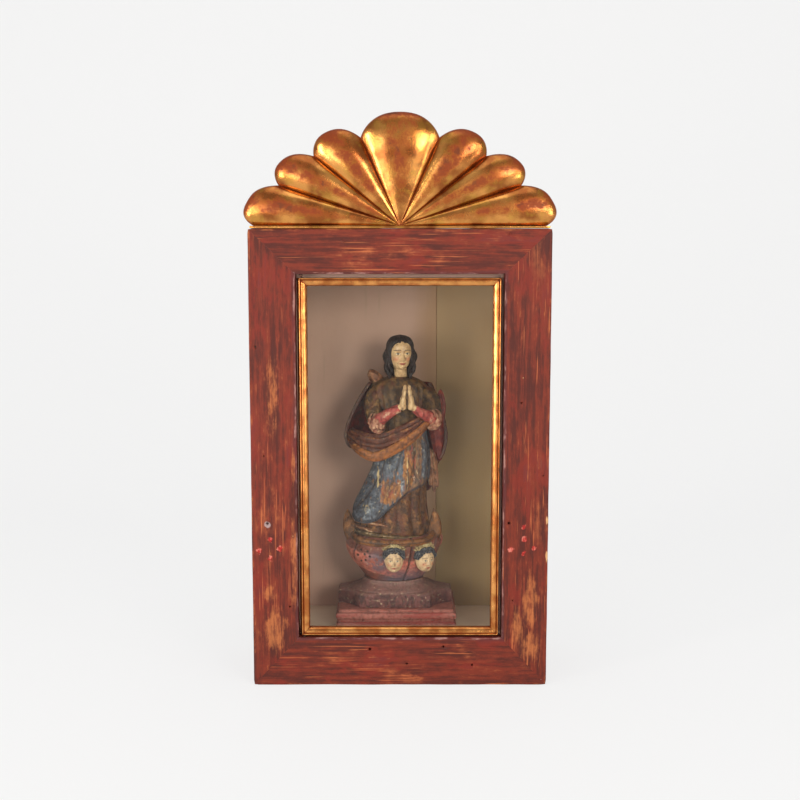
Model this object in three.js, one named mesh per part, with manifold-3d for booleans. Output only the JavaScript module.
// A standing niche of painted and gilded wood: a shallow case with a mitred front frame, a carved
// shell crest, a gilt glazed leaf that turns on two iron pins, and a carved figure inside.
// Millimetres. +X is the viewer's right, +Y runs to the back and +Z is up. The origin is the middle
// of the object's box, on the surface that the case stands on.
import * as THREE from 'three';
import Module from 'manifold-3d';

const wasm = await Module();
wasm.setup();

// Clearances
const FIT = 0.3; // between pieces that are cut to each other
const PIN_PLAY = 0.08; // round the pivot pins, on the radius

// Front frame
const FRAME_WIDTH = 330;
const FRAME_HEIGHT = 511;
const FRAME_THICK = 18;
const STILE_WIDTH = 51;
const TOP_RAIL = 49;
const BOTTOM_RAIL = 55;

// Case
const CASE_DEPTH = 145; // front of the frame to the outside of the back
const SIDE_BOARD = 14;
const END_BOARD = 14; // top and bottom boards
const BACK_BOARD = 8;
const BACK_SEAM_X = 44;
const BACK_SEAM_GAP = 0.4;
const FLOOR_BOARD = 10;
const FLOOR_DROP = 3; // floor surface below the top of the bottom rail
const CLEAT_WIDTH = 12;
const CLEAT_HEIGHT = 16;
const STOP_THICK = 5;
const STOP_LAP = 7; // how far a stop strip reaches into the opening
const STOP_WIDTH = 15;

// Nails
const NAIL_RADIUS = 1;
const NAIL_HEAD_RADIUS = 2.4;
const NAIL_HEAD_THICK = 0.8;
const NAIL_SUNK = 0.3;
const BACK_NAIL_LENGTH = 24;
const FRAME_NAIL_LENGTH = 38;

// Crest
const CREST_PROUD = 5; // bellies of the lobes in front of the frame
const CREST_GROOVE = 5; // grooves between the lobes behind the frame's front
const CREST_BELLY_AT = 0.72; // share of a lobe's length where it stands out most
const CREST_LEDGE = 3;
const CREST_LEDGE_INSET = 3;
const CREST_DOWEL_X = 92;
const CREST_DOWEL_DEPTH = 16;
const CREST_DOWEL_BACK = 2; // dowel's middle behind the middle of the frame's thickness
const DOWEL_RADIUS = 4;

// Lobes on one side, from the top one outwards: the angle and radius of the groove where each lobe
// ends, how far the lobe's rim swells past the line between its grooves, and how square the rim is
const CREST_TOP_ANGLE = 24.3; // half the top lobe, from straight up
const CREST_TOP_RADIUS = 103;
const CREST_TOP_SWELL = 19;
const CREST_TOP_POWER = 2.2;
const CREST_LOBES = [
  { angle: 51.4, radius: 119, swell: 16, power: 2.4 },
  { angle: 71.8, radius: 138, swell: 17, power: 2.4 },
  { angle: 90, radius: 159, swell: 19, power: 3 },
];

// Glazed leaf
const LEAF_GAP_SIDE = 3.5;
const LEAF_GAP_TOP = 4;
const LEAF_GAP_BOTTOM = 2;
const LEAF_RECESS = 2; // leaf's face behind the frame's face
const LEAF_THICK = 15;
const MOULD_WIDTH = 9;
const MOULD_LIP = 6; // wood in front of the pane
const REBATE = 3.5;
const MOULD_ROUND = 2.6;
const PANE_THICK = 2;
const PANE_PLAY = 0.4;
const BEAD_DEPTH = 4;
const PIVOT_INSET = 3; // pin's middle from the leaf's left edge, and from its face
const PIVOT_RADIUS = 1.2;
const PIVOT_IN_LEAF = 10;
const PIVOT_IN_RAIL = 7;
const NOTCH_RADIUS = 4.5;
const NOTCH_DEPTH = 1.6;
const NOTCH_Z = 246; // height of the finger notch above the base

// Plinth and block
const PLINTH_BACK_GAP = 4; // between the plinth and the back boards
const PLINTH_FRONT_GAP = 12; // between the plinth and the stop strips
const PLINTH_X = -4.5;
const PLINTH_WIDTH = 139;
const PLINTH_HEIGHT = 24;
// Steps of the plinth from the floor up: shares of its height, and how far each is set in
const PLINTH_TIERS = [
  { from: 0, to: 0.34, inset: 0 },
  { from: 0.3, to: 0.66, inset: 2.1 },
  { from: 0.6, to: 0.84, inset: 0 },
  { from: 0.8, to: 1, inset: 3 },
];
const BLOCK_X = -6;
const BLOCK_WIDTH = 134;
const BLOCK_INSET_Y = 10; // block's face behind the plinth's, front and back
const BLOCK_CORNER = 26;
const BLOCK_HOLLOW = 4; // how far the cut corners are scooped in
const BLOCK_EDGE = 16;
const BLOCK_SWELL = 12;
const BLOCK_CHAMFER = 2;
const BLOCK_NECK_X = 35;
const BLOCK_NECK_Y = 27;
const BLOCK_FLARE = 0.55; // how much wider the foot of the neck is than its top, as a share
const BLOCK_FLARE_Y = 0.3; // the same limit from front to back
const BLOCK_FLARE_CURVE = 2.2;

// Globe, crescent and cherub heads
const GLOBE_X = -7.5;
const GLOBE_HALF_WIDTH = 58.5;
const GLOBE_HALF_DEPTH = 44;
const GLOBE_HEIGHT = 54;
const GLOBE_FOOT = 0.57; // foot's share of the widest part
const GLOBE_WIDEST_AT = 0.8; // share of the rings below the widest one
const GLOBE_TOP_DRAW = 0.14; // how far the top draws in again, as a share
const GLOBE_EVEN_RISE = 0.65; // share of the height that the rings divide evenly
const CRESCENT_HEIGHT = 5.5; // half of the section at the middle
const CRESCENT_THICK = 3.6;
const HORN_WIDTH = 5.4; // half of the section where the horns start
const HORN_RISE = 25;
const CHERUB_WIDTH = 11;
const CHERUB_DEPTH = 10;
const CHERUB_HEIGHT = 16.5;

// Figure
const BODY_HEIGHT = 184; // hem to collar
const HEAD_HEIGHT = 39; // chin to crown
const HEAD_HALF_WIDTH = 14;
const HEAD_HALF_DEPTH = 16.5;
const HAIR_THICK = 4;
const NECK_RADIUS = 8;
const NECK_SOCKET = 7;
const CHIN_ABOVE_COLLAR = 8.5;
const FACE_TURN = 12; // degrees, towards the viewer's right
const PEG_RADIUS = 5;
const PEG_BITE = 12;

// Derived places
const FRONT_Y = (CREST_PROUD - CASE_DEPTH) / 2;
const FRAME_BACK_Y = FRONT_Y + FRAME_THICK;
const BACK_Y = FRONT_Y + CASE_DEPTH;
const BACK_FACE_Y = BACK_Y - BACK_BOARD;
const HALF_WIDTH = FRAME_WIDTH / 2;
const OPEN_X = HALF_WIDTH - STILE_WIDTH;
const OPEN_LOW = BOTTOM_RAIL;
const OPEN_HIGH = FRAME_HEIGHT - TOP_RAIL;
const FLOOR_TOP = OPEN_LOW - FLOOR_DROP;
const FLOOR_LOW = FLOOR_TOP - FLOOR_BOARD;
const SIDE_INNER_X = HALF_WIDTH - SIDE_BOARD;
const LEAF_X = OPEN_X - LEAF_GAP_SIDE;
const LEAF_LOW = OPEN_LOW + LEAF_GAP_BOTTOM;
const LEAF_HIGH = OPEN_HIGH - LEAF_GAP_TOP;
const LEAF_FACE_Y = FRONT_Y + LEAF_RECESS;
const PANE_FACE_Y = LEAF_FACE_Y + MOULD_LIP;
const PIVOT_X = -LEAF_X + PIVOT_INSET;
const PIVOT_Y = LEAF_FACE_Y + PIVOT_INSET;
const PLINTH_FRONT_Y = FRAME_BACK_Y + STOP_THICK + PLINTH_FRONT_GAP;
const PLINTH_DEPTH = BACK_FACE_Y - PLINTH_BACK_GAP - PLINTH_FRONT_Y;
const BLOCK_DEPTH = PLINTH_DEPTH - 2 * BLOCK_INSET_Y;
const FIGURE_Y = PLINTH_FRONT_Y + PLINTH_DEPTH / 2;
const BLOCK_LOW = FLOOR_TOP + PLINTH_HEIGHT;
const BLOCK_HEIGHT = BLOCK_EDGE + BLOCK_SWELL;
const GLOBE_LOW = BLOCK_LOW + BLOCK_HEIGHT;
const BODY_LOW = GLOBE_LOW + GLOBE_HEIGHT + FIT;
const NECK_Z = BODY_LOW + BODY_HEIGHT;

// Colours
const RED_PAINT = { color: 0x82322a, roughness: 0.6, metalness: 0 };
const BARE_WOOD = { color: 0x8a6a4a, roughness: 0.8, metalness: 0 };
const LINING = { color: 0x91786a, roughness: 0.85, metalness: 0 };
const GILDING = { color: 0xc8872e, roughness: 0.35, metalness: 0.8 };
const IRON = { color: 0x3a3532, roughness: 0.6, metalness: 0.8 };
const PANE = { color: 0xdfe6e0, roughness: 0.05, metalness: 0, transparent: true, opacity: 0.25 };
const PLINTH_PINK = { color: 0x965a55, roughness: 0.6, metalness: 0 };
const BLOCK_PURPLE = { color: 0x5f4141, roughness: 0.55, metalness: 0 };
const CLOUD_PINK = { color: 0x96504b, roughness: 0.6, metalness: 0 };
const MOON_OLIVE = { color: 0x5f4b2d, roughness: 0.5, metalness: 0.2 };
const FLESH = { color: 0xc8aa86, roughness: 0.4, metalness: 0 };
const DRAPERY = { color: 0x6a4630, roughness: 0.5, metalness: 0.1 };

const niche = new THREE.Group();

// Solids and meshes

function toSolid(geometry) {
  const vertProperties = new Float32Array(geometry.getAttribute('position').array);
  const triVerts = new Uint32Array(geometry.getIndex().array);
  const mesh = new wasm.Mesh({ numProp: 3, vertProperties, triVerts });
  mesh.merge();
  return new wasm.Manifold(mesh);
}

function toGeometry(solid) {
  const mesh = solid.getMesh();
  const geometry = new THREE.BufferGeometry();
  geometry.setAttribute('position', new THREE.BufferAttribute(mesh.vertProperties, mesh.numProp));
  geometry.setIndex(new THREE.BufferAttribute(mesh.triVerts, 1));
  geometry.computeVertexNormals();
  return geometry;
}

function add(parent, name, solid, look) {
  const mesh = new THREE.Mesh(toGeometry(solid), new THREE.MeshStandardMaterial(look));
  mesh.name = name;
  parent.add(mesh);
  return mesh;
}

// Closed solid through rings of equal count, each ring a list of points, with fans at both ends
function loft(rings) {
  const count = rings[0].length;
  const points = rings.flat();
  const faces = [];
  for (let i = 0; i < rings.length - 1; i += 1) {
    for (let j = 0; j < count; j += 1) {
      const next = (j + 1) % count;
      const a = i * count + j;
      const b = i * count + next;
      const c = a + count;
      const d = b + count;
      faces.push(a, b, d, a, d, c);
    }
  }
  const caps = [
    { start: 0, flip: true },
    { start: (rings.length - 1) * count, flip: false },
  ];
  for (const { start, flip } of caps) {
    const middle = new THREE.Vector3();
    for (let j = 0; j < count; j += 1) {
      middle.addScaledVector(points[start + j], 1 / count);
    }
    points.push(middle);
    const hub = points.length - 1;
    for (let j = 0; j < count; j += 1) {
      const a = start + j;
      const b = start + ((j + 1) % count);
      faces.push(...(flip ? [hub, b, a] : [hub, a, b]));
    }
  }
  return closed(points, faces);
}

// Solid from points and triangles, turned so that its faces point out
function closed(points, faces) {
  let volume = 0;
  for (let i = 0; i < faces.length; i += 3) {
    const [a, b, c] = [points[faces[i]], points[faces[i + 1]], points[faces[i + 2]]];
    volume += a.dot(new THREE.Vector3().crossVectors(b, c));
  }
  const order = volume < 0 ? [0, 2, 1] : [0, 1, 2];
  const index = [];
  for (let i = 0; i < faces.length; i += 3) {
    index.push(...order.map((k) => faces[i + k]));
  }
  const geometry = new THREE.BufferGeometry().setFromPoints(points);
  geometry.setIndex(index);
  return toSolid(geometry);
}

// Thick sheet over a grid: outer(u, v) and inner(u, v) give the two skins for u, v from 0 to 1
function sheet(outer, inner, across, down) {
  const points = [];
  for (const skin of [outer, inner]) {
    for (let i = 0; i <= down; i += 1) {
      for (let j = 0; j <= across; j += 1) {
        points.push(skin(j / across, i / down));
      }
    }
  }
  const row = across + 1;
  const layer = row * (down + 1);
  const faces = [];
  const quad = (a, b, c, d) => faces.push(a, b, c, a, c, d);
  for (let i = 0; i < down; i += 1) {
    for (let j = 0; j < across; j += 1) {
      const a = i * row + j;
      quad(a, a + 1, a + row + 1, a + row);
      quad(layer + a, layer + a + row, layer + a + row + 1, layer + a + 1);
    }
  }
  for (let j = 0; j < across; j += 1) {
    const low = down * row + j;
    quad(j + 1, j, layer + j, layer + j + 1);
    quad(low, low + 1, layer + low + 1, layer + low);
  }
  for (let i = 0; i < down; i += 1) {
    const left = i * row;
    const right = left + across;
    quad(left, left + row, layer + left + row, layer + left);
    quad(right + row, right, layer + right, layer + right + row);
  }
  return closed(points, faces);
}

// Round or oval rod along a smooth path. Stations give the middle, the two half sizes of the
// section and its tilt; the first half size lies along the path's level side, the second across it.
function limb(stations, sides, steps, grow = 0) {
  const path = new THREE.CatmullRomCurve3(stations.map((s) => new THREE.Vector3(...s.at)));
  const last = stations.length - 1;
  const up = new THREE.Vector3(0, 0, 1);
  const front = new THREE.Vector3(0, -1, 0);
  const rings = [];
  for (let i = 0; i <= steps; i += 1) {
    const t = i / steps;
    const k = Math.min(Math.floor(t * last), last - 1);
    const blend = t * last - k;
    const sizeA = THREE.MathUtils.lerp(stations[k].a, stations[k + 1].a, blend) + grow;
    const sizeB = THREE.MathUtils.lerp(stations[k].b, stations[k + 1].b, blend) + grow;
    const middle = path.getPoint(t);
    const along = path.getTangent(t);
    const hint = Math.abs(along.z) > 0.8 ? front : up;
    const across = new THREE.Vector3().crossVectors(along, hint).normalize();
    const over = new THREE.Vector3().crossVectors(across, along).normalize();
    const ring = [];
    for (let j = 0; j < sides; j += 1) {
      const angle = (2 * Math.PI * j) / sides;
      const point = middle.clone();
      point.addScaledVector(across, sizeA * Math.cos(angle));
      point.addScaledVector(over, sizeB * Math.sin(angle));
      ring.push(point);
    }
    rings.push(ring);
  }
  return loft(rings);
}

function unite(solids) {
  return solids.reduce((sum, solid) => sum.add(solid));
}

function cutAll(solid, cutters) {
  return cutters.reduce((rest, cutter) => rest.subtract(cutter), solid);
}

// What is left of a solid after a neighbour is cut from it with a gap all round
function cutClear(solid, neighbour, gap) {
  const shifts = [[0, 0, gap], [0, 0, -gap], [gap, 0, 0], [-gap, 0, 0], [0, gap, 0], [0, -gap, 0]];
  return cutAll(solid, shifts.map((shift) => neighbour.translate(shift)));
}

function geometrySolid(geometry) {
  const position = geometry.getAttribute('position');
  const points = [];
  for (let i = 0; i < position.count; i += 1) {
    points.push(new THREE.Vector3().fromBufferAttribute(position, i));
  }
  const plain = new THREE.BufferGeometry().setFromPoints(points);
  const index = geometry.getIndex();
  plain.setIndex(index ? [...index.array] : points.map((_, i) => i));
  return weld(plain);
}

// Joins the corners that lie on each other, so that the mesh closes
function weld(geometry) {
  const position = geometry.getAttribute('position');
  const seen = new Map();
  const points = [];
  const renumber = [];
  for (let i = 0; i < position.count; i += 1) {
    const point = new THREE.Vector3().fromBufferAttribute(position, i);
    const key = point.toArray().map((v) => Math.round(v * 1e4)).join(' ');
    if (!seen.has(key)) {
      seen.set(key, points.length);
      points.push(point);
    }
    renumber.push(seen.get(key));
  }
  const faces = [];
  const index = geometry.getIndex().array;
  for (let i = 0; i < index.length; i += 3) {
    const [a, b, c] = [renumber[index[i]], renumber[index[i + 1]], renumber[index[i + 2]]];
    if (a !== b && b !== c && c !== a) {
      faces.push(a, b, c);
    }
  }
  return closed(points, faces);
}

// Board between two corners, each [x, y, z]
function board(low, high) {
  const size = high.map((v, i) => v - low[i]);
  const geometry = new THREE.BoxGeometry(...size);
  geometry.translate(...low.map((v, i) => v + size[i] / 2));
  return geometrySolid(geometry);
}

// Round pin from a point along an axis: 'x', 'y' or 'z', towards larger values
function pin(from, axis, length, radius, sides = 16) {
  const geometry = new THREE.CylinderGeometry(radius, radius, length, sides);
  geometry.translate(0, length / 2, 0);
  if (axis === 'z') {
    geometry.rotateX(Math.PI / 2);
  }
  if (axis === 'x') {
    geometry.rotateZ(-Math.PI / 2);
  }
  geometry.translate(...from);
  return geometrySolid(geometry);
}

function ball(middle, half, across = 12, down = 8) {
  const geometry = new THREE.SphereGeometry(1, across, down);
  geometry.rotateX(Math.PI / 2);
  geometry.scale(...half);
  geometry.translate(...middle);
  return geometrySolid(geometry);
}

// Prism with a front outline of [x, z] points, between two depths
function slab(outline, nearY, farY) {
  const shape = new THREE.Shape(outline.map(([x, z]) => new THREE.Vector2(x, z)));
  const geometry = new THREE.ExtrudeGeometry(shape, { depth: farY - nearY, bevelEnabled: false });
  geometry.rotateX(Math.PI / 2);
  geometry.translate(0, farY, 0);
  return geometrySolid(geometry);
}

// Nail driven along +Y or -Y from a face, and the hole that it sits in
function nail(x, faceY, z, length, inward, grow) {
  const headY = faceY + inward * NAIL_SUNK;
  const shankEnd = headY + inward * length;
  const headEnd = headY + inward * NAIL_HEAD_THICK;
  const holeFace = grow > 0 ? faceY - inward * FIT : headY;
  const between = (a, b, radius, sides) => (
    pin([x, Math.min(a, b), z], 'y', Math.abs(a - b), radius, sides)
  );
  const shank = between(headY, shankEnd, NAIL_RADIUS + grow, 8);
  const head = between(holeFace, headEnd + inward * grow, NAIL_HEAD_RADIUS + grow, 10);
  return shank.add(head);
}

// Front frame, with sockets for the leaf's pins, the crest's dowels and the nails

function crestDowelPlaces() {
  return [-CREST_DOWEL_X, CREST_DOWEL_X];
}

function crestDowel(x, grow) {
  const depth = CREST_DOWEL_DEPTH + grow;
  const y = FRONT_Y + FRAME_THICK / 2 + CREST_DOWEL_BACK;
  return pin([x, y, FRAME_HEIGHT - depth], 'z', 2 * depth, DOWEL_RADIUS + grow);
}

function frameNailPlaces() {
  const x = HALF_WIDTH - SIDE_BOARD / 2;
  const low = FRAME_HEIGHT * 0.25;
  const high = FRAME_HEIGHT * 0.75;
  return [[-x, low], [-x, high], [x, low], [x, high]];
}

function frameNail([x, z], grow) {
  return nail(x, FRONT_Y, z, FRAME_NAIL_LENGTH, 1, grow);
}

function pivotSpan(end) {
  const edge = end === 'top' ? LEAF_HIGH : LEAF_LOW;
  const gap = end === 'top' ? LEAF_GAP_TOP : LEAF_GAP_BOTTOM;
  const out = gap + PIVOT_IN_RAIL;
  return end === 'top' ? [edge - PIVOT_IN_LEAF, edge + out] : [edge - out, edge + PIVOT_IN_LEAF];
}

function pivot(end, radius, longer) {
  const [low, high] = pivotSpan(end);
  return pin([PIVOT_X, PIVOT_Y, low - longer], 'z', high - low + 2 * longer, radius);
}

function buildFrame() {
  const farY = FRAME_BACK_Y;
  const corners = (x, low, high) => [[-x, low], [x, low], [x, high], [-x, high]];
  const outer = corners(HALF_WIDTH, 0, FRAME_HEIGHT);
  const inner = corners(OPEN_X, OPEN_LOW, OPEN_HIGH);
  const outlines = {
    stile_left: [outer[0], inner[0], inner[3], outer[3]],
    stile_right: [inner[1], outer[1], outer[2], inner[2]],
    rail_top: [inner[3], inner[2], outer[2], outer[3]],
    rail_bottom: [outer[0], outer[1], inner[1], inner[0]],
  };
  const cuts = {
    stile_left: [],
    stile_right: [],
    rail_top: [pivot('top', PIVOT_RADIUS + PIN_PLAY, 1)],
    rail_bottom: [pivot('bottom', PIVOT_RADIUS + PIN_PLAY, 1)],
  };
  cuts.rail_top.push(...crestDowelPlaces().map((x) => crestDowel(x, FIT)));
  for (const place of frameNailPlaces()) {
    cuts[place[0] < 0 ? 'stile_left' : 'stile_right'].push(frameNail(place, FIT));
  }
  for (const [name, outline] of Object.entries(outlines)) {
    add(niche, name, cutAll(slab(outline, FRONT_Y, farY), cuts[name]), RED_PAINT);
  }
  frameNailPlaces().forEach((place, i) => add(niche, `frame_nail_${i + 1}`, frameNail(place, 0), IRON));
}

// Case: sides, ends, raised floor on cleats, back boards with their nails, stop strips

function backNailPlaces() {
  const x = HALF_WIDTH - SIDE_BOARD / 2;
  const places = [];
  for (const share of [0.08, 0.5, 0.92]) {
    places.push([-x, share * FRAME_HEIGHT], [x, share * FRAME_HEIGHT]);
  }
  return places;
}

function backNail([x, z], grow) {
  return nail(x, BACK_Y, z, BACK_NAIL_LENGTH, -1, grow);
}

function buildCase() {
  const nearY = FRAME_BACK_Y;
  const farY = BACK_FACE_Y;
  for (const [name, sign] of [['left', -1], ['right', 1]]) {
    const xs = [sign * HALF_WIDTH, sign * SIDE_INNER_X].sort((a, b) => a - b);
    const holes = [
      ...frameNailPlaces().filter(([x]) => x * sign > 0).map((place) => frameNail(place, FIT)),
      ...backNailPlaces().filter(([x]) => x * sign > 0).map((place) => backNail(place, FIT)),
    ];
    const side = board([xs[0], nearY, 0], [xs[1], farY, FRAME_HEIGHT]);
    add(niche, `case_side_${name}`, cutAll(side, holes), RED_PAINT);
    const cleatXs = [sign * SIDE_INNER_X, sign * (SIDE_INNER_X - CLEAT_WIDTH)].sort((a, b) => a - b);
    const cleatLow = [cleatXs[0], nearY, FLOOR_LOW - CLEAT_HEIGHT];
    add(niche, `floor_cleat_${name}`, board(cleatLow, [cleatXs[1], farY, FLOOR_LOW]), BARE_WOOD);
  }
  const bottom = board([-SIDE_INNER_X, nearY, 0], [SIDE_INNER_X, farY, END_BOARD]);
  add(niche, 'case_bottom', bottom, RED_PAINT);
  const top = board([-SIDE_INNER_X, nearY, FRAME_HEIGHT - END_BOARD], [SIDE_INNER_X, farY, FRAME_HEIGHT]);
  add(niche, 'case_top', top, RED_PAINT);
  const floor = board([-SIDE_INNER_X, nearY, FLOOR_LOW], [SIDE_INNER_X, farY, FLOOR_TOP]);
  add(niche, 'inner_floor', floor, LINING);
  const seam = BACK_SEAM_GAP / 2;
  const backs = [['left', -HALF_WIDTH, BACK_SEAM_X - seam], ['right', BACK_SEAM_X + seam, HALF_WIDTH]];
  for (const [name, x0, x1] of backs) {
    const holes = backNailPlaces().filter(([x]) => x > x0 && x < x1).map((place) => backNail(place, FIT));
    const back = board([x0, farY, 0], [x1, BACK_Y, FRAME_HEIGHT]);
    add(niche, `back_board_${name}`, cutAll(back, holes), LINING);
  }
  backNailPlaces().forEach((place, i) => add(niche, `back_nail_${i + 1}`, backNail(place, 0), IRON));
}

function buildStops() {
  const nearY = FRAME_BACK_Y;
  const farY = nearY + STOP_THICK;
  const inX = OPEN_X - STOP_LAP;
  const lowZ = OPEN_LOW + STOP_LAP;
  const highZ = OPEN_HIGH - STOP_LAP;
  const lowOut = FLOOR_TOP;
  const right = board([inX, nearY, lowOut], [inX + STOP_WIDTH, farY, highZ + STOP_WIDTH]);
  add(niche, 'stop_right', right, LINING);
  const top = board([-OPEN_X, nearY, highZ], [inX, farY, highZ + STOP_WIDTH]);
  add(niche, 'stop_top', top, LINING);
  const bottom = board([-OPEN_X, nearY, lowOut], [inX, farY, lowZ]);
  add(niche, 'stop_bottom', bottom, LINING);
}

// Crest

// Rim at an angle from straight up: its radius, and how far across its lobe the angle lies, from 0
// in the lobe's middle to 1 in the groove
function crestRim(angle) {
  const side = Math.abs(angle);
  if (side <= CREST_TOP_ANGLE) {
    const s = side / CREST_TOP_ANGLE;
    const radius = CREST_TOP_RADIUS + CREST_TOP_SWELL * (1 - s ** CREST_TOP_POWER);
    return { radius, across: s };
  }
  let from = { angle: CREST_TOP_ANGLE, radius: CREST_TOP_RADIUS };
  for (const lobe of CREST_LOBES) {
    if (side <= lobe.angle + 1e-6) {
      const half = (lobe.angle - from.angle) / 2;
      const s = (side - from.angle - half) / half;
      const line = THREE.MathUtils.lerp(from.radius, lobe.radius, (s + 1) / 2);
      const swell = lobe.swell * (1 - Math.min(1, Math.abs(s)) ** lobe.power);
      return { radius: line + swell, across: Math.min(1, Math.abs(s)) };
    }
    from = lobe;
  }
  throw new Error('angle past the last lobe');
}

function crestAngles() {
  const steps = [-1, -0.94, -0.75, -0.4, 0, 0.4, 0.75, 0.94, 1];
  const edges = [CREST_TOP_ANGLE, ...CREST_LOBES.map((lobe) => lobe.angle)];
  const signed = [...edges.map((v) => -v).reverse(), ...edges];
  const angles = [];
  for (let k = 0; k < signed.length - 1; k += 1) {
    const middle = (signed[k] + signed[k + 1]) / 2;
    const half = (signed[k + 1] - signed[k]) / 2;
    for (const step of k === 0 ? steps : steps.slice(1)) {
      angles.push(middle + step * half);
    }
  }
  return angles;
}

function buildCrest() {
  const rows = [0.1, 0.3, 0.52, CREST_BELLY_AT, 0.86, 0.94, 0.985, 1];
  const hubZ = FRAME_HEIGHT + CREST_LEDGE;
  const backY = FRAME_BACK_Y;
  const grooveY = FRONT_Y + CREST_GROOVE;
  const depth = CREST_GROOVE + CREST_PROUD;
  const angles = crestAngles();
  const points = [];
  const push = (x, y, z) => points.push(new THREE.Vector3(x, y, z)) - 1;
  const hubFront = push(0, grooveY, hubZ);
  const hubBack = push(0, backY, hubZ);
  const front = [];
  const back = [];
  for (const angle of angles) {
    const { radius, across } = crestRim(angle);
    const [sin, cos] = [Math.sin((angle * Math.PI) / 180), Math.cos((angle * Math.PI) / 180)];
    const belly = (1 - across ** 2) ** 0.7;
    const z = (share) => Math.max(hubZ, hubZ + radius * share * cos);
    front.push(rows.map((share) => {
      const past = Math.max(0, (share - CREST_BELLY_AT) / (1 - CREST_BELLY_AT));
      const rise = Math.min(1, share / CREST_BELLY_AT) * Math.sqrt(1 - past ** 2.6);
      const swell = depth * belly * rise;
      return push(radius * share * sin, grooveY - swell, z(share));
    }));
    back.push(push(radius * sin, backY, z(1)));
  }
  const faces = [];
  const quad = (a, b, c, d) => faces.push(a, b, c, a, c, d);
  const rim = rows.length - 1;
  for (let i = 0; i < angles.length - 1; i += 1) {
    faces.push(hubFront, front[i][0], front[i + 1][0]);
    for (let r = 0; r < rim; r += 1) {
      quad(front[i][r], front[i][r + 1], front[i + 1][r + 1], front[i + 1][r]);
    }
    quad(front[i][rim], back[i], back[i + 1], front[i + 1][rim]);
    faces.push(hubBack, back[i + 1], back[i]);
  }
  const ends = [[0, false], [angles.length - 1, true]];
  for (const [i, flip] of ends) {
    const chain = [hubFront, ...front[i], back[i], hubBack];
    for (let k = 1; k < chain.length - 1; k += 1) {
      faces.push(...(flip ? [chain[0], chain[k], chain[k + 1]] : [chain[0], chain[k + 1], chain[k]]));
    }
  }
  const shell = closed(points, faces);
  const ledgeX = HALF_WIDTH - CREST_LEDGE_INSET;
  const ledgeHigh = hubZ + 1;
  const ledge = board([-ledgeX, FRONT_Y - 1, FRAME_HEIGHT], [ledgeX, backY, ledgeHigh]);
  const holes = crestDowelPlaces().map((x) => crestDowel(x, FIT));
  add(niche, 'crest_shell', cutAll(shell.add(ledge), holes), GILDING);
  crestDowelPlaces().forEach((x, i) => {
    add(niche, `crest_dowel_${i === 0 ? 'left' : 'right'}`, crestDowel(x, 0), BARE_WOOD);
  });
}

// Glazed leaf

// Section of the gilt moulding: out from its outer edge, and back from its face
function mouldSection() {
  const points = [[0, MOULD_ROUND]];
  const arcSteps = 4;
  for (let i = 1; i <= arcSteps; i += 1) {
    const turn = (i / arcSteps) * (Math.PI / 2);
    points.push([MOULD_ROUND * (1 - Math.cos(turn)), MOULD_ROUND * (1 - Math.sin(turn))]);
  }
  points.push([MOULD_WIDTH * 0.55, 0]);
  points.push([MOULD_WIDTH * 0.72, MOULD_LIP * 0.25]);
  points.push([MOULD_WIDTH, MOULD_LIP * 0.62]);
  points.push([MOULD_WIDTH, MOULD_LIP]);
  points.push([MOULD_WIDTH - REBATE, MOULD_LIP]);
  points.push([MOULD_WIDTH - REBATE, LEAF_THICK]);
  points.push([0, LEAF_THICK]);
  return points;
}

// Strip of a section along one side of a rectangle round the leaf's middle, mitred at both ends.
// The section's points give how far in from the rectangle, and how far back from the near depth.
function mitredStrip(side, section, halfX, halfZ, nearY) {
  const middleZ = (LEAF_LOW + LEAF_HIGH) / 2;
  const upright = side === 'left' || side === 'right';
  const sign = side === 'left' || side === 'bottom' ? -1 : 1;
  const points = [-1, 1].flatMap((end) => section.map(([inwards, back]) => {
    const x = upright ? sign * (halfX - inwards) : end * (halfX - inwards);
    const z = upright ? end * (halfZ - inwards) : sign * (halfZ - inwards);
    return new THREE.Vector3(x, nearY + back, middleZ + z);
  }));
  const count = section.length;
  const flat = section.map(([inwards, back]) => new THREE.Vector2(inwards, back));
  const ends = THREE.ShapeUtils.triangulateShape(flat, []);
  const triangle = ends[0].map((k) => flat[k]);
  const same = THREE.ShapeUtils.area(triangle) * THREE.ShapeUtils.area(flat) > 0;
  const faces = [];
  for (const [a, b, c] of ends) {
    faces.push(a, b, c, count + a, count + c, count + b);
  }
  for (let j = 0; j < count; j += 1) {
    const [a, b] = same ? [j, (j + 1) % count] : [(j + 1) % count, j];
    faces.push(b, a, count + a, b, count + a, count + b);
  }
  return closed(points, faces);
}

function moulding(side) {
  const halfZ = (LEAF_HIGH - LEAF_LOW) / 2;
  return mitredStrip(side, mouldSection(), LEAF_X, halfZ, LEAF_FACE_Y);
}

function bead(side) {
  const inset = MOULD_WIDTH - REBATE + FIT;
  const reach = REBATE - FIT;
  const section = [[0, 0], [reach, 0], [0, BEAD_DEPTH]];
  const halfZ = (LEAF_HIGH - LEAF_LOW) / 2 - inset;
  return mitredStrip(side, section, LEAF_X - inset, halfZ, PANE_FACE_Y + PANE_THICK);
}

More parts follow.
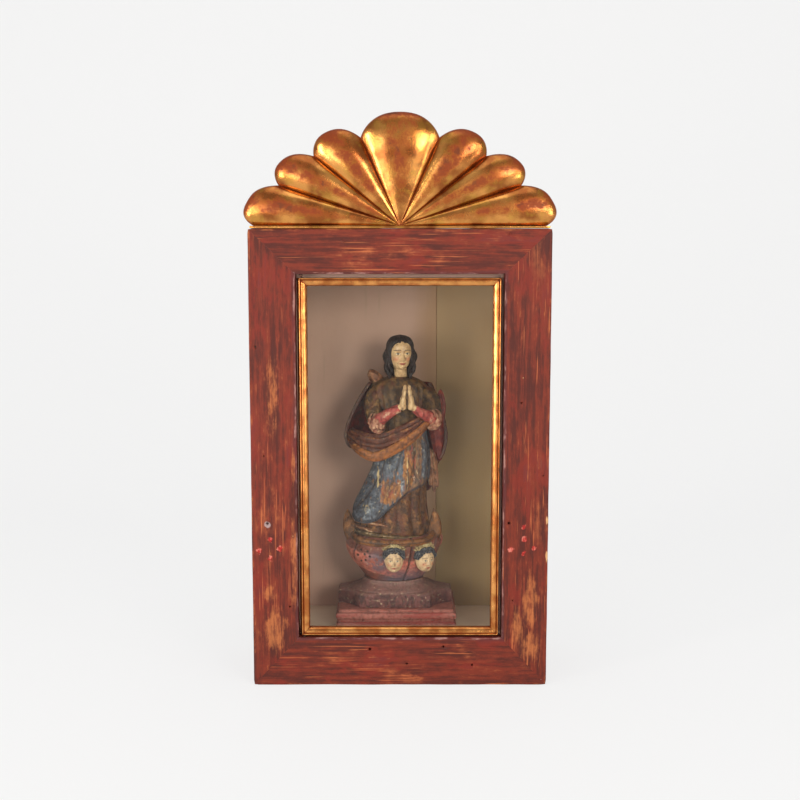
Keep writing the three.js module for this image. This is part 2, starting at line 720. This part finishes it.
function buildLeaf() {
  const leaf = new THREE.Group();
  const pinHoles = ['top', 'bottom'].map((end) => pivot(end, PIVOT_RADIUS + PIN_PLAY, PIN_PLAY));
  const notchMiddle = [LEAF_X + NOTCH_RADIUS - NOTCH_DEPTH, LEAF_FACE_Y, NOTCH_Z];
  const notch = ball(notchMiddle, [NOTCH_RADIUS, MOULD_LIP * 0.8, NOTCH_RADIUS]);
  for (const side of ['left', 'right', 'top', 'bottom']) {
    const cuts = side === 'right' ? [notch] : pinHoles;
    add(leaf, `leaf_moulding_${side}`, cutAll(moulding(side), cuts), GILDING);
    add(leaf, `leaf_bead_${side}`, bead(side), BARE_WOOD);
  }
  const paneX = LEAF_X - MOULD_WIDTH + REBATE - PANE_PLAY;
  const paneInset = MOULD_WIDTH - REBATE + PANE_PLAY;
  const paneLow = [-paneX, PANE_FACE_Y, LEAF_LOW + paneInset];
  const paneHigh = [paneX, PANE_FACE_Y + PANE_THICK, LEAF_HIGH - paneInset];
  add(leaf, 'glass_pane', board(paneLow, paneHigh), PANE);
  for (const end of ['top', 'bottom']) {
    add(leaf, `pivot_pin_${end}`, pivot(end, PIVOT_RADIUS, 0), IRON);
  }
  niche.add(leaf);
}

// Plinth, block and globe

function peg(x, z, grow) {
  const bite = PEG_BITE + grow;
  return pin([x, 0, z - bite], 'z', 2 * bite, PEG_RADIUS + grow);
}

function plinthSolid() {
  return unite(PLINTH_TIERS.map(({ from, to, inset }) => {
    const halfX = PLINTH_WIDTH / 2 - inset;
    const halfY = PLINTH_DEPTH / 2 - inset;
    return board(
      [PLINTH_X - halfX, -halfY, FLOOR_TOP + from * PLINTH_HEIGHT],
      [PLINTH_X + halfX, halfY, FLOOR_TOP + to * PLINTH_HEIGHT],
    );
  }));
}

function ovalRing(x, halfX, halfY, z, sides) {
  const ring = [];
  for (let j = 0; j < sides; j += 1) {
    const angle = (2 * Math.PI * j) / sides;
    ring.push(new THREE.Vector3(x + halfX * Math.cos(angle), halfY * Math.sin(angle), z));
  }
  return ring;
}

// Plan of the block: straight sides and scooped corners, drawn in towards the neck by share
function blockRing(inset, z) {
  const halfX = BLOCK_WIDTH / 2 - inset;
  const halfY = BLOCK_DEPTH / 2 - inset;
  const corner = BLOCK_CORNER - inset * 0.5;
  const ring = [];
  const quarter = [[1, -1], [1, 1], [-1, 1], [-1, -1]];
  quarter.forEach(([sx, sy], k) => {
    const start = [sx * halfX, sy * (halfY - corner)];
    const end = [sx * (halfX - corner), sy * halfY];
    const scoop = BLOCK_HOLLOW / Math.SQRT2;
    const middle = [(start[0] + end[0]) / 2 - sx * scoop, (start[1] + end[1]) / 2 - sy * scoop];
    const run = k % 2 === 0 ? [end, middle, start] : [start, middle, end];
    ring.push(...run.map(([x, y]) => new THREE.Vector3(BLOCK_X + x, y, z)));
  });
  return ring;
}

function blockSolid() {
  const top = BLOCK_LOW + BLOCK_HEIGHT;
  const edge = BLOCK_LOW + BLOCK_EDGE;
  const base = loft([
    blockRing(0, BLOCK_LOW),
    blockRing(0, edge - BLOCK_CHAMFER),
    blockRing(BLOCK_CHAMFER, edge),
  ]);
  const neckRings = [];
  const steps = 5;
  for (let i = 0; i <= steps; i += 1) {
    const t = i / steps;
    const flare = BLOCK_FLARE * (1 - t) ** BLOCK_FLARE_CURVE;
    const halfX = BLOCK_NECK_X * (1 + flare);
    const halfY = BLOCK_NECK_Y * (1 + Math.min(flare, BLOCK_FLARE_Y));
    neckRings.push(ovalRing(GLOBE_X, halfX, halfY, THREE.MathUtils.lerp(edge - 1, top, t), 24));
  }
  return base.add(loft(neckRings));
}

function globeSolid(grow = 0) {
  const rings = [];
  const steps = 9;
  for (let i = 0; i <= steps; i += 1) {
    const t = i / steps;
    const below = Math.sin(Math.min(1, t / GLOBE_WIDEST_AT) * (Math.PI / 2)) ** 0.9;
    const above = Math.max(0, (t - GLOBE_WIDEST_AT) / (1 - GLOBE_WIDEST_AT));
    const share = GLOBE_FOOT + (1 - GLOBE_FOOT) * below - GLOBE_TOP_DRAW * above ** 2;
    const rise = THREE.MathUtils.lerp(Math.sin((t * Math.PI) / 2), t, GLOBE_EVEN_RISE);
    const ends = { 0: -grow, [steps]: grow };
    const z = GLOBE_LOW + GLOBE_HEIGHT * rise + (ends[i] ?? 0);
    const halfX = GLOBE_HALF_WIDTH * share + grow;
    const halfY = GLOBE_HALF_DEPTH * share + grow;
    rings.push(ovalRing(GLOBE_X, halfX, halfY, z, 28));
  }
  return loft(rings);
}

// Crescent laid over the front of the globe, with its horns rising at the sides
function crescentSolid(grow = 0) {
  const z = (rise) => GLOBE_LOW + GLOBE_HEIGHT + rise;
  const band = { a: CRESCENT_THICK, b: CRESCENT_HEIGHT };
  const horn = { a: HORN_WIDTH, b: CRESCENT_THICK };
  const point = { a: HORN_WIDTH * 0.1, b: CRESCENT_THICK * 0.15 };
  const left = GLOBE_X - GLOBE_HALF_WIDTH;
  const right = GLOBE_X + GLOBE_HALF_WIDTH;
  const frontY = -GLOBE_HALF_DEPTH;
  return limb([
    { at: [left + 1, 0, z(HORN_RISE - 2)], ...point },
    { at: [left + 4.5, -4, z(HORN_RISE * 0.3)], ...horn },
    { at: [left + 17, frontY * 0.66, z(-3)], ...band },
    { at: [GLOBE_X, frontY + 2, z(-6)], ...band },
    { at: [right - 19, frontY * 0.66, z(-3)], ...band },
    { at: [right - 9, -4, z(HORN_RISE * 0.35)], ...horn },
    { at: [right - 8, 0, z(HORN_RISE)], ...point },
  ], 8, 24, grow);
}

// Winged child's head: face, cap of hair and a ruff of small feathers over it
function cherubSolid(x, y, z) {
  const face = ball([x, y, z], [CHERUB_WIDTH, CHERUB_DEPTH, CHERUB_HEIGHT], 14, 10);
  const hairZ = z + CHERUB_HEIGHT * 0.52;
  const hair = ball([x, y + 1.2, hairZ], [CHERUB_WIDTH * 1.04, CHERUB_DEPTH, CHERUB_HEIGHT * 0.56]);
  const ruffZ = z + CHERUB_HEIGHT * 1.12;
  const ruff = ball([x, y + 1.5, ruffZ], [CHERUB_WIDTH * 0.95, CHERUB_DEPTH * 0.62, 5]);
  return unite([face, hair, ruff]);
}

// Figure's body. Its tables and limbs are drawn with the hem at height 0 and the collar at the drawn
// height, and the whole is then scaled to the body's real height and set on the globe.
const DRAWN = {
  height: 184,
  folds: 9,
  foldDepth: 0.055,
  skirtThick: 2.2,
  skirtSink: 5, // how far the overskirt's inner skin lies under its outer one, inside the tunic
  skirtRipple: 1.1,
  mantleTop: 175,
  mantleElbow: 116,
  mantleThick: 3.6,
  mantleFold: 1.2,
  wristRadius: 3,
  wristTenon: 5,
};

function toBody(solid) {
  return solid.scale(BODY_HEIGHT / DRAWN.height).translate([0, 0, BODY_LOW]);
}

// Plan of the tunic at heights above the hem: middle, half width, half depth, depth of the folds
const TUNIC = [
  { h: 0, x: -7, a: 43, b: 35, fold: 1 },
  { h: 7, x: -8, a: 45, b: 36, fold: 1 },
  { h: 32, x: -6, a: 38, b: 32, fold: 0.8 },
  { h: 62, x: -1, a: 33, b: 29, fold: 0.6 },
  { h: 92, x: 3, a: 30, b: 26, fold: 0.4 },
  { h: 122, x: 2, a: 27, b: 23, fold: 0.15 },
  { h: 150, x: 0, a: 31, b: 23, fold: 0.1 },
  { h: 169, x: -1, a: 35, b: 20, fold: 0 },
  { h: 178, x: -1, a: 28, b: 17, fold: 0 },
  { h: DRAWN.height, x: 0, a: 14, b: 13, fold: 0 },
];

function tunicAt(h) {
  let k = 0;
  while (k < TUNIC.length - 2 && h > TUNIC[k + 1].h) {
    k += 1;
  }
  const [from, to] = [TUNIC[k], TUNIC[k + 1]];
  const t = THREE.MathUtils.clamp((h - from.h) / (to.h - from.h), 0, 1);
  const mix = (key) => THREE.MathUtils.lerp(from[key], to[key], t);
  return { x: mix('x'), a: mix('a'), b: mix('b'), fold: mix('fold') };
}

// Point of the tunic's surface, moved out by more, at an angle from +X round by the back
function tunicPoint(h, angle, more) {
  const { x, a, b, fold } = tunicAt(h);
  const folds = 1 + DRAWN.foldDepth * fold * Math.cos(DRAWN.folds * angle + 0.8);
  return new THREE.Vector3(
    x + (a * folds + more) * Math.cos(angle),
    (b * folds + more) * Math.sin(angle),
    h,
  );
}

function tunicSolid() {
  const heights = [0, 7, 20, 34, 48, 62, 78, 94, 110, 126, 150, 161, 169, 178, DRAWN.height];
  return loft(heights.map((h) => {
    const ring = [];
    for (let j = 0; j < 36; j += 1) {
      ring.push(tunicPoint(h, (2 * Math.PI * j) / 36, 0));
    }
    return ring;
  }));
}

function mixRow(rows, t) {
  const spot = THREE.MathUtils.clamp(t, 0, 1) * (rows.length - 1);
  const k = Math.min(Math.floor(spot), rows.length - 2);
  return rows[k].map((v, i) => THREE.MathUtils.lerp(v, rows[k + 1][i], spot - k));
}

// Overskirt: from the left hip round the front to the right side. Rows give the angle in degrees,
// the heights of its lower and upper edges over the hem, and how far its lower edge stands out.
const OVERSKIRT = [
  [168, 50, 100, 5],
  [186, 36, 100, 12],
  [203, 26, 96, 17],
  [222, 18, 92, 12],
  [242, 19, 96, 7],
  [262, 34, 104, 5],
  [284, 48, 112, 4],
  [306, 56, 120, 4.5],
  [330, 60, 124, 4],
  [350, 64, 124, 3],
];


function overskirtSolid() {
  const skin = (depth) => (u, v) => {
    const [degrees, low, high, out] = mixRow(OVERSKIRT, u);
    const h = THREE.MathUtils.lerp(high, low, v);
    const ripple = DRAWN.skirtRipple * Math.cos(u * 34) * v;
    const more = THREE.MathUtils.lerp(DRAWN.skirtThick, out, v ** 1.6) + ripple;
    const inner = Math.min(more - depth, -1);
    return tunicPoint(h, (degrees * Math.PI) / 180, depth > 0 ? inner : more);
  };
  return sheet(skin(0), skin(DRAWN.skirtSink), 18, 8);
}

// Mantle: rows give the angle in degrees, the distances from the axis at the shoulder, at the elbow
// and at the lower edge, and the height of that edge over the hem
const MANTLE = [
  [190, 38, 66, 60, 102],
  [172, 38, 64, 58, 100],
  [150, 34, 48, 46, 84],
  [124, 26, 34, 36, 62],
  [90, 20, 30, 34, 50],
  [58, 26, 33, 37, 46],
  [30, 33, 42, 42, 46],
  [8, 38, 54, 50, 84],
  [-8, 37, 57, 50, 90],
];

function mantleSolid() {
  const { mantleTop, mantleElbow, mantleThick, mantleFold } = DRAWN;
  const skin = (inset) => (u, v) => {
    const [degrees, shoulder, elbow, edge, low] = mixRow(MANTLE, u);
    const h = THREE.MathUtils.lerp(mantleTop, low, v);
    const rise = (h - mantleElbow) / (mantleTop - mantleElbow);
    const below = (mantleElbow - h) / (mantleElbow - low);
    const upper = THREE.MathUtils.lerp(elbow, shoulder, Math.max(0, rise) ** 1.5);
    const lower = THREE.MathUtils.lerp(elbow, edge, Math.min(1, below) ** 2);
    const radius = h > mantleElbow ? upper : lower;
    const angle = (degrees * Math.PI) / 180;
    const fold = mantleFold * Math.cos(u * 30) * v;
    const reach = radius - inset + fold;
    return new THREE.Vector3(reach * Math.cos(angle), reach * Math.sin(angle) + 1, h);
  };
  return sheet(skin(0), skin(mantleThick), 20, 8);
}

// The mantle's front edge, gathered across the hips: a rolled fold and the border under it
function swagSolid() {
  const border = limb([
    { at: [-61, -9, 110], a: 3.5, b: 4.5 },
    { at: [-49, -24, 101], a: 4, b: 5.5 },
    { at: [-28, -35, 95], a: 4, b: 6 },
    { at: [-4, -37, 106], a: 4, b: 6 },
    { at: [16, -34, 119], a: 4, b: 5.5 },
    { at: [33, -24, 134], a: 3.5, b: 4.5 },
  ], 8, 14);
  const roll = limb([
    { at: [-58, -6, 116], a: 6, b: 8 },
    { at: [-44, -20, 109], a: 8, b: 11 },
    { at: [-23, -28, 107], a: 9, b: 13 },
    { at: [1, -29, 117], a: 8, b: 12 },
    { at: [22, -25, 130], a: 6, b: 9 },
  ], 8, 10);
  return border.add(roll);
}

function sleeveSolids() {
  return [
    limb([
      { at: [-28, -2, 169], a: 10, b: 10 },
      { at: [-31, -9, 150], a: 11, b: 11 },
      { at: [-27, -20, 132], a: 10, b: 10 },
    ], 10, 6),
    limb([
      { at: [-28, -23, 134], a: 9, b: 8.5 },
      { at: [-14, -33, 144], a: 6, b: 6.5 },
      { at: [-1, -39, 151], a: 4.6, b: 5 },
    ], 10, 6),
    limb([
      { at: [28, -2, 171], a: 10, b: 10 },
      { at: [36, -9, 153], a: 11, b: 11 },
      { at: [39, -18, 139], a: 10, b: 10 },
    ], 10, 6),
    limb([
      { at: [40, -21, 138], a: 9, b: 8.5 },
      { at: [28, -32, 143], a: 6, b: 6.5 },
      { at: [17, -39, 150], a: 4.6, b: 5 },
    ], 10, 6),
  ];
}

// Loose ends of cloth: the peak on the right forearm, the fall below the right hip, and the gathered
// cloth on the left shoulder
function looseEnds() {
  return [
    limb([
      { at: [49, -2, 136], a: 5, b: 6 },
      { at: [51, -2, 152], a: 4.5, b: 5.5 },
      { at: [50, -2, 168], a: 1.6, b: 2 },
    ], 8, 5),
    limb([
      { at: [37, 2, 88], a: 6, b: 7 },
      { at: [40, 2, 66], a: 5.5, b: 6.5 },
      { at: [40, 1, 45], a: 4, b: 5 },
    ], 8, 5),
    ball([-27, 4, 182], [11, 8, 7.5]),
  ];
}

// Wrist tenon of a hand: it runs down the line of the forearm into the sleeve's end
const WRISTS = {
  left: { end: [0.5, -40, 152], toward: [-13, 6, -7] },
  right: { end: [15.5, -40, 151], toward: [11, 7, -7] },
};

function wristSolid(side, grow) {
  const { end, toward } = WRISTS[side];
  const direction = new THREE.Vector3(...toward).normalize();
  const tip = new THREE.Vector3(...end).addScaledVector(direction, DRAWN.wristTenon + grow);
  const near = new THREE.Vector3(...end).addScaledVector(direction, -2 - grow);
  const size = { a: DRAWN.wristRadius, b: DRAWN.wristRadius };
  return limb([
    { at: tip.toArray(), ...size },
    { at: near.toArray(), ...size },
  ], 8, 1, grow);
}

function handSolid(side) {
  const sign = side === 'left' ? -1 : 1;
  const middle = 8;
  const x = (out) => middle + sign * out;
  const hand = limb([
    { at: [x(6), -40, 149.5], a: 3, b: 3.4 },
    { at: [x(4.2), -41, 157], a: 3.6, b: 5 },
    { at: [x(3.2), -41, 165], a: 2.7, b: 4.8 },
    { at: [x(1.5), -40, 176], a: 1, b: 2 },
  ], 10, 9);
  return hand.add(wristSolid(side, 0));
}

// Head, neck and hair

// Nose and locks are drawn for a head of the drawn height, from the chin up
const DRAWN_HEAD = {
  height: 39,
  set: 5, // how far the face stands forward of the figure's axis
  nose: [1.8, 2.8, 4.6],
  lock: [
    { x: 14, y: -2, z: 24, a: 4, b: 5 },
    { x: 18, y: -2, z: 10, a: 5, b: 6 },
    { x: 17, y: -5, z: -3, a: 5, b: 6 },
    { x: 15, y: -12, z: -14, a: 3, b: 4 },
  ],
};

function headSolid() {
  const unit = HEAD_HEIGHT / DRAWN_HEAD.height;
  const chinZ = NECK_Z + CHIN_ABOVE_COLLAR;
  const plan = [[0, 0.36, 0.5], [0.1, 0.68, 0.78], [0.28, 0.93, 0.94], [0.5, 1, 1], [0.72, 0.97, 1],
    [0.88, 0.74, 0.78], [0.97, 0.4, 0.42], [1, 0.12, 0.12]];
  const skull = loft(plan.map(([share, wide, deep]) => {
    const ring = [];
    for (let j = 0; j < 18; j += 1) {
      const angle = (2 * Math.PI * j) / 18;
      const x = HEAD_HALF_WIDTH * wide * Math.cos(angle);
      const y = HEAD_HALF_DEPTH * deep * Math.sin(angle) - 2 * unit * (1 - share);
      ring.push(new THREE.Vector3(x, y, chinZ + HEAD_HEIGHT * share));
    }
    return ring;
  }));
  const noseHalf = DRAWN_HEAD.nose.map((v) => v * unit);
  const nose = ball([0, -HEAD_HALF_DEPTH, chinZ + HEAD_HEIGHT * 0.36], noseHalf, 8, 6);
  const hairHalf = [HEAD_HALF_WIDTH + HAIR_THICK, HEAD_HALF_DEPTH + unit, HEAD_HEIGHT * 0.5];
  const hair = ball([0, HAIR_THICK + unit, chinZ + HEAD_HEIGHT * 0.56], hairHalf, 16, 10);
  const napeHalf = [HEAD_HALF_WIDTH + HAIR_THICK, HEAD_HALF_DEPTH - 5 * unit, HEAD_HEIGHT * 0.5];
  const nape = ball([0, HAIR_THICK + 3 * unit, chinZ + HEAD_HEIGHT * 0.22], napeHalf, 12, 8);
  const forward = [0, -DRAWN_HEAD.set * unit, 0];
  const turned = unite([skull, nose, hair, nape]).rotate([0, 0, FACE_TURN]).translate(forward);
  const locks = [-1, 1].map((sign) => limb(DRAWN_HEAD.lock.map(({ x, y, z, a, b }) => (
    { at: [sign * x * unit, y * unit, chinZ + z * unit], a: a * unit, b: b * unit }
  )), 8, 8));
  return unite([turned, neckSolid(0), ...locks]);
}

// Neck with its round tenon in the collar
function neckSolid(grow) {
  return limb([
    { at: [1, -1, NECK_Z - NECK_SOCKET - grow], a: NECK_RADIUS, b: NECK_RADIUS },
    { at: [1, -4, NECK_Z + CHIN_ABOVE_COLLAR + NECK_SOCKET - 1], a: NECK_RADIUS, b: NECK_RADIUS },
  ], 12, 3, grow);
}

function buildFigure() {
  const figure = new THREE.Group();
  figure.position.y = FIGURE_Y;
  const pegX = GLOBE_X;
  const joints = [BLOCK_LOW, GLOBE_LOW, BODY_LOW];
  const holes = joints.map((z) => peg(pegX, z, FIT));
  add(figure, 'plinth', cutAll(plinthSolid(), [holes[0]]), PLINTH_PINK);
  add(figure, 'plinth_block', cutAll(blockSolid(), [holes[0], holes[1]]), BLOCK_PURPLE);
  const globeCuts = [holes[1], holes[2], crescentSolid(FIT)];
  add(figure, 'cloud_globe', cutAll(globeSolid(), globeCuts), CLOUD_PINK);
  add(figure, 'crescent_moon', crescentSolid(), MOON_OLIVE);
  const cherubZ = GLOBE_LOW + GLOBE_HEIGHT * 0.58;
  const cherubs = [
    ['cherub_head_front', cherubSolid(GLOBE_X + 0.5, -GLOBE_HALF_DEPTH * 0.98, cherubZ)],
    ['cherub_head_side', cherubSolid(GLOBE_X + 36, -GLOBE_HALF_DEPTH * 0.74, cherubZ - 2)],
  ];
  for (const [name, solid] of cherubs) {
    const seated = cutAll(solid, [globeSolid(FIT), crescentSolid(FIT)]);
    add(figure, name, largest(seated), FLESH);
  }
  const body = toBody(unite([
    tunicSolid(), overskirtSolid(), mantleSolid(), swagSolid(), ...sleeveSolids(), ...looseEnds(),
  ]));
  const wrists = ['left', 'right'].map((side) => toBody(wristSolid(side, FIT)));
  const sockets = [neckSolid(FIT), ...wrists];
  const carved = largest(cutAll(body, [holes[2], crescentSolid(FIT), ...sockets]));
  const head = largest(cutClear(headSolid(), carved, FIT));
  const hands = ['left', 'right'].map((side) => [
    side,
    largest(cutClear(toBody(handSolid(side)), carved, FIT)),
  ]);
  add(figure, 'figure_body', carved, DRAPERY);
  add(figure, 'figure_head', head, FLESH);
  for (const [side, hand] of hands) {
    add(figure, `hand_${side}`, hand, FLESH);
  }
  joints.forEach((z, i) => {
    add(figure, `peg_${['plinth', 'globe', 'body'][i]}`, peg(pegX, z, 0), BARE_WOOD);
  });
  niche.add(figure);
}

// Biggest of the separate bodies that a cut leaves
function largest(solid) {
  const parts = solid.decompose();
  return parts.reduce((best, part) => (part.volume() > best.volume() ? part : best));
}

buildFrame();
buildCase();
buildStops();
buildCrest();
buildLeaf();
buildFigure();

export default niche;
